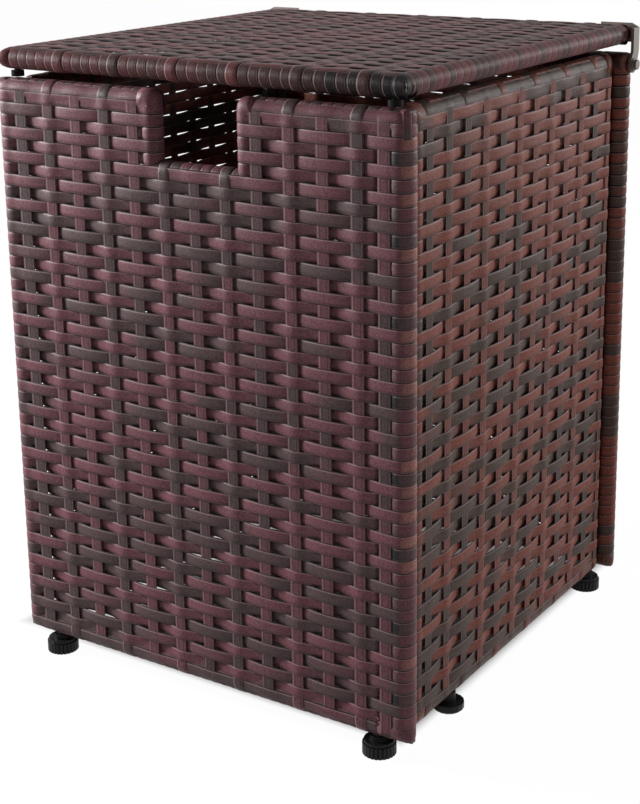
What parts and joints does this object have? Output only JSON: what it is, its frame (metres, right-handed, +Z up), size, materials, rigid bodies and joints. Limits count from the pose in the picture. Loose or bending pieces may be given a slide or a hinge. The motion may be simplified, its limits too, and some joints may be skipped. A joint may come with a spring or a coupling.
{
  "type": "propane tank cover table",
  "caption": "Woven box cover for an upright gas bottle, with a hinged flat lid as a side table top, a hose notch in the front rim and levelling feet.",
  "frame": {"origin": "centre of the bounding box's footprint, on the ground under the feet", "axes": "+Z up; -Y towards the front, the side with the notch; +X to the right as seen from the front; the hinge is at +Y"},
  "size_m": [0.4658, 0.466, 0.61],
  "materials": {
    "frame_tube": "powder-coated steel tube, taupe brown, satin",
    "woven_strand": "flat extruded plastic strand, mauve brown and grey brown mixed, fine lengthwise grain",
    "lid_strand": "flat extruded plastic strand, mauve brown and grey brown mixed, fine lengthwise grain",
    "hinge_plate": "powder-coated steel plate, taupe brown, satin",
    "hinge_bolt": "painted round-head bolt, brown, satin",
    "washer": "black nylon washer",
    "screw": "zinc-plated steel",
    "stud": "zinc-plated steel",
    "insert": "black moulded plastic",
    "foot_knob": "black moulded plastic, ribbed edge",
    "glide": "black moulded plastic, smooth",
    "bumper": "soft black rubber"
  },
  "bodies": {
    "cover": {"front_frame": "frame_tube", "front_weave": "woven_strand", "rear_frame": "frame_tube", "rear_weave": "woven_strand", "left_frame": "frame_tube", "left_weave": "woven_strand", "right_frame": "frame_tube", "right_weave": "woven_strand", "panel_bolt_front_left_low": "screw", "panel_bolt_front_left_high": "screw", "panel_bolt_front_right_low": "screw", "panel_bolt_front_right_high": "screw", "panel_bolt_rear_left_low": "screw", "panel_bolt_rear_left_high": "screw", "panel_bolt_rear_right_low": "screw", "panel_bolt_rear_right_high": "screw", "foot_insert_front_left": "insert", "foot_insert_front_right": "insert", "foot_insert_rear_left": "insert", "foot_insert_rear_right": "insert", "side_glide_left": "glide", "side_glide_right": "glide", "hinge_bolt_left": "hinge_bolt", "hinge_bolt_right": "hinge_bolt", "hinge_washer_left": "washer", "hinge_washer_right": "washer"},
    "lid": {"lid_frame": "frame_tube", "lid_weave": "lid_strand", "hinge_bracket_left": "hinge_plate", "hinge_bracket_right": "hinge_plate", "bracket_screw_left_inner": "screw", "bracket_screw_left_outer": "screw", "bracket_screw_right_inner": "screw", "bracket_screw_right_outer": "screw", "lid_bumper_left": "bumper", "lid_bumper_right": "bumper"},
    "stud_front_left": {"foot_stud_front_left": "stud"},
    "knob_front_left": {"foot_knob_front_left": "foot_knob"},
    "stud_front_right": {"foot_stud_front_right": "stud"},
    "knob_front_right": {"foot_knob_front_right": "foot_knob"},
    "stud_rear_left": {"foot_stud_rear_left": "stud"},
    "knob_rear_left": {"foot_knob_rear_left": "foot_knob"},
    "stud_rear_right": {"foot_stud_rear_right": "stud"},
    "knob_rear_right": {"foot_knob_rear_right": "foot_knob"}
  },
  "joints": [
    {"name": "lid_hinge", "type": "hinge", "parent": "cover", "child": "lid", "pos_m": [0, 0.216, 0.5695], "axis": [-1, 0, 0], "range_deg": [0, 105]},
    {"name": "foot_reach_front_left", "type": "slide", "parent": "cover", "child": "stud_front_left", "axis": [0, 0, -1], "range_m": [0, 0.01]},
    {"name": "foot_turn_front_left", "type": "hinge", "parent": "stud_front_left", "child": "knob_front_left", "pos_m": [-0.188, -0.219, 0.008], "axis": [0, 0, -1], "range_deg": [0, 2881]},
    {"name": "foot_reach_front_right", "type": "slide", "parent": "cover", "child": "stud_front_right", "axis": [0, 0, -1], "range_m": [0, 0.01]},
    {"name": "foot_turn_front_right", "type": "hinge", "parent": "stud_front_right", "child": "knob_front_right", "pos_m": [0.188, -0.219, 0.008], "axis": [0, 0, -1], "range_deg": [0, 2881]},
    {"name": "foot_reach_rear_left", "type": "slide", "parent": "cover", "child": "stud_rear_left", "axis": [0, 0, -1], "range_m": [0, 0.01]},
    {"name": "foot_turn_rear_left", "type": "hinge", "parent": "stud_rear_left", "child": "knob_rear_left", "pos_m": [-0.203, 0.1907, 0.008], "axis": [0, 0, -1], "range_deg": [0, 2881]},
    {"name": "foot_reach_rear_right", "type": "slide", "parent": "cover", "child": "stud_rear_right", "axis": [0, 0, -1], "range_m": [0, 0.01]},
    {"name": "foot_turn_rear_right", "type": "hinge", "parent": "stud_rear_right", "child": "knob_rear_right", "pos_m": [0.203, 0.1907, 0.008], "axis": [0, 0, -1], "range_deg": [0, 2881]}
  ],
  "couplings": [
    {"joint": "foot_turn_front_left", "follows": "foot_reach_front_left", "rad_per_m": 5026.5},
    {"joint": "foot_turn_front_right", "follows": "foot_reach_front_right", "rad_per_m": 5026.5},
    {"joint": "foot_turn_rear_left", "follows": "foot_reach_rear_left", "rad_per_m": 5026.5},
    {"joint": "foot_turn_rear_right", "follows": "foot_reach_rear_right", "rad_per_m": 5026.5}
  ]
}
